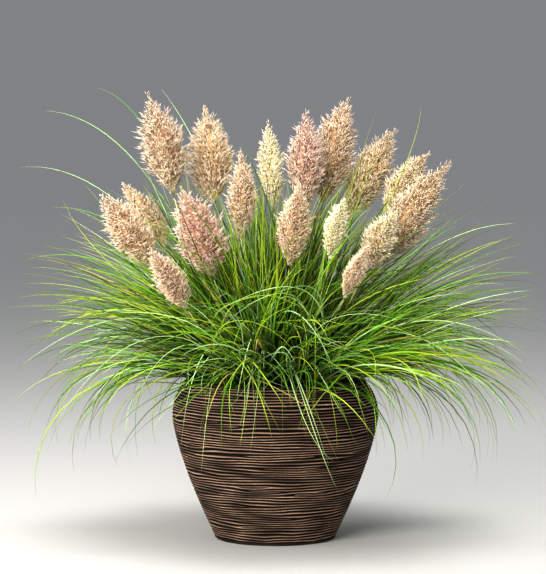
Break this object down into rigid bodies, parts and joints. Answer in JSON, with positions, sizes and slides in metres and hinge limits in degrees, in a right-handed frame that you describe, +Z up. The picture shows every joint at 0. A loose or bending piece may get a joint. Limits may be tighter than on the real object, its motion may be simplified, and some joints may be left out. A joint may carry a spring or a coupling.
{
  "type": "potted pampas grass",
  "caption": "Dwarf pampas grass with upright feathery plumes above a tussock of long arching leaves, growing in a round planter with wavy horizontal ribs.",
  "frame": {"origin": "centre of the planter's flat base, on the surface that it stands on", "axes": "+Z up; the picture looks along +Y, so +X is to its right"},
  "size_m": [1.2465, 1.2577, 1.042],
  "materials": {
    "planter": "matte, ribbed, dark brown",
    "soil": "crumbly potting mix",
    "stem": "smooth cane",
    "plume": "silky and feathery",
    "leaf": "satin grass blade"
  },
  "bodies": {
    "root": {"planter": "planter", "soil": "soil", "stem_01": "stem", "stem_02": "stem", "stem_03": "stem", "stem_04": "stem", "stem_05": "stem", "stem_06": "stem", "stem_07": "stem", "stem_08": "stem", "stem_09": "stem", "stem_10": "stem", "stem_11": "stem", "stem_12": "stem", "stem_13": "stem", "stem_14": "stem", "stem_15": "stem", "stem_16": "stem", "stem_17": "stem", "plume_01": "plume", "plume_02": "plume", "plume_03": "plume", "plume_04": "plume", "plume_05": "plume", "plume_06": "plume", "plume_07": "plume", "plume_08": "plume", "plume_09": "plume", "plume_10": "plume", "plume_11": "plume", "plume_12": "plume", "plume_13": "plume", "plume_14": "plume", "plume_15": "plume", "plume_16": "plume", "plume_17": "plume", "leaf_tuft_01": "leaf", "leaf_tuft_02": "leaf", "leaf_tuft_03": "leaf", "leaf_tuft_04": "leaf", "leaf_tuft_05": "leaf", "leaf_tuft_06": "leaf", "leaf_tuft_07": "leaf", "leaf_tuft_08": "leaf", "leaf_tuft_09": "leaf", "leaf_tuft_10": "leaf", "leaf_tuft_11": "leaf", "leaf_tuft_12": "leaf", "leaf_tuft_13": "leaf", "leaf_tuft_14": "leaf", "leaf_tuft_15": "leaf", "leaf_tuft_16": "leaf", "leaf_tuft_17": "leaf", "leaf_tuft_18": "leaf", "leaf_tuft_19": "leaf", "leaf_tuft_20": "leaf", "leaf_tuft_21": "leaf", "leaf_tuft_22": "leaf", "leaf_tuft_23": "leaf", "leaf_tuft_24": "leaf"}
  },
  "joints": []
}
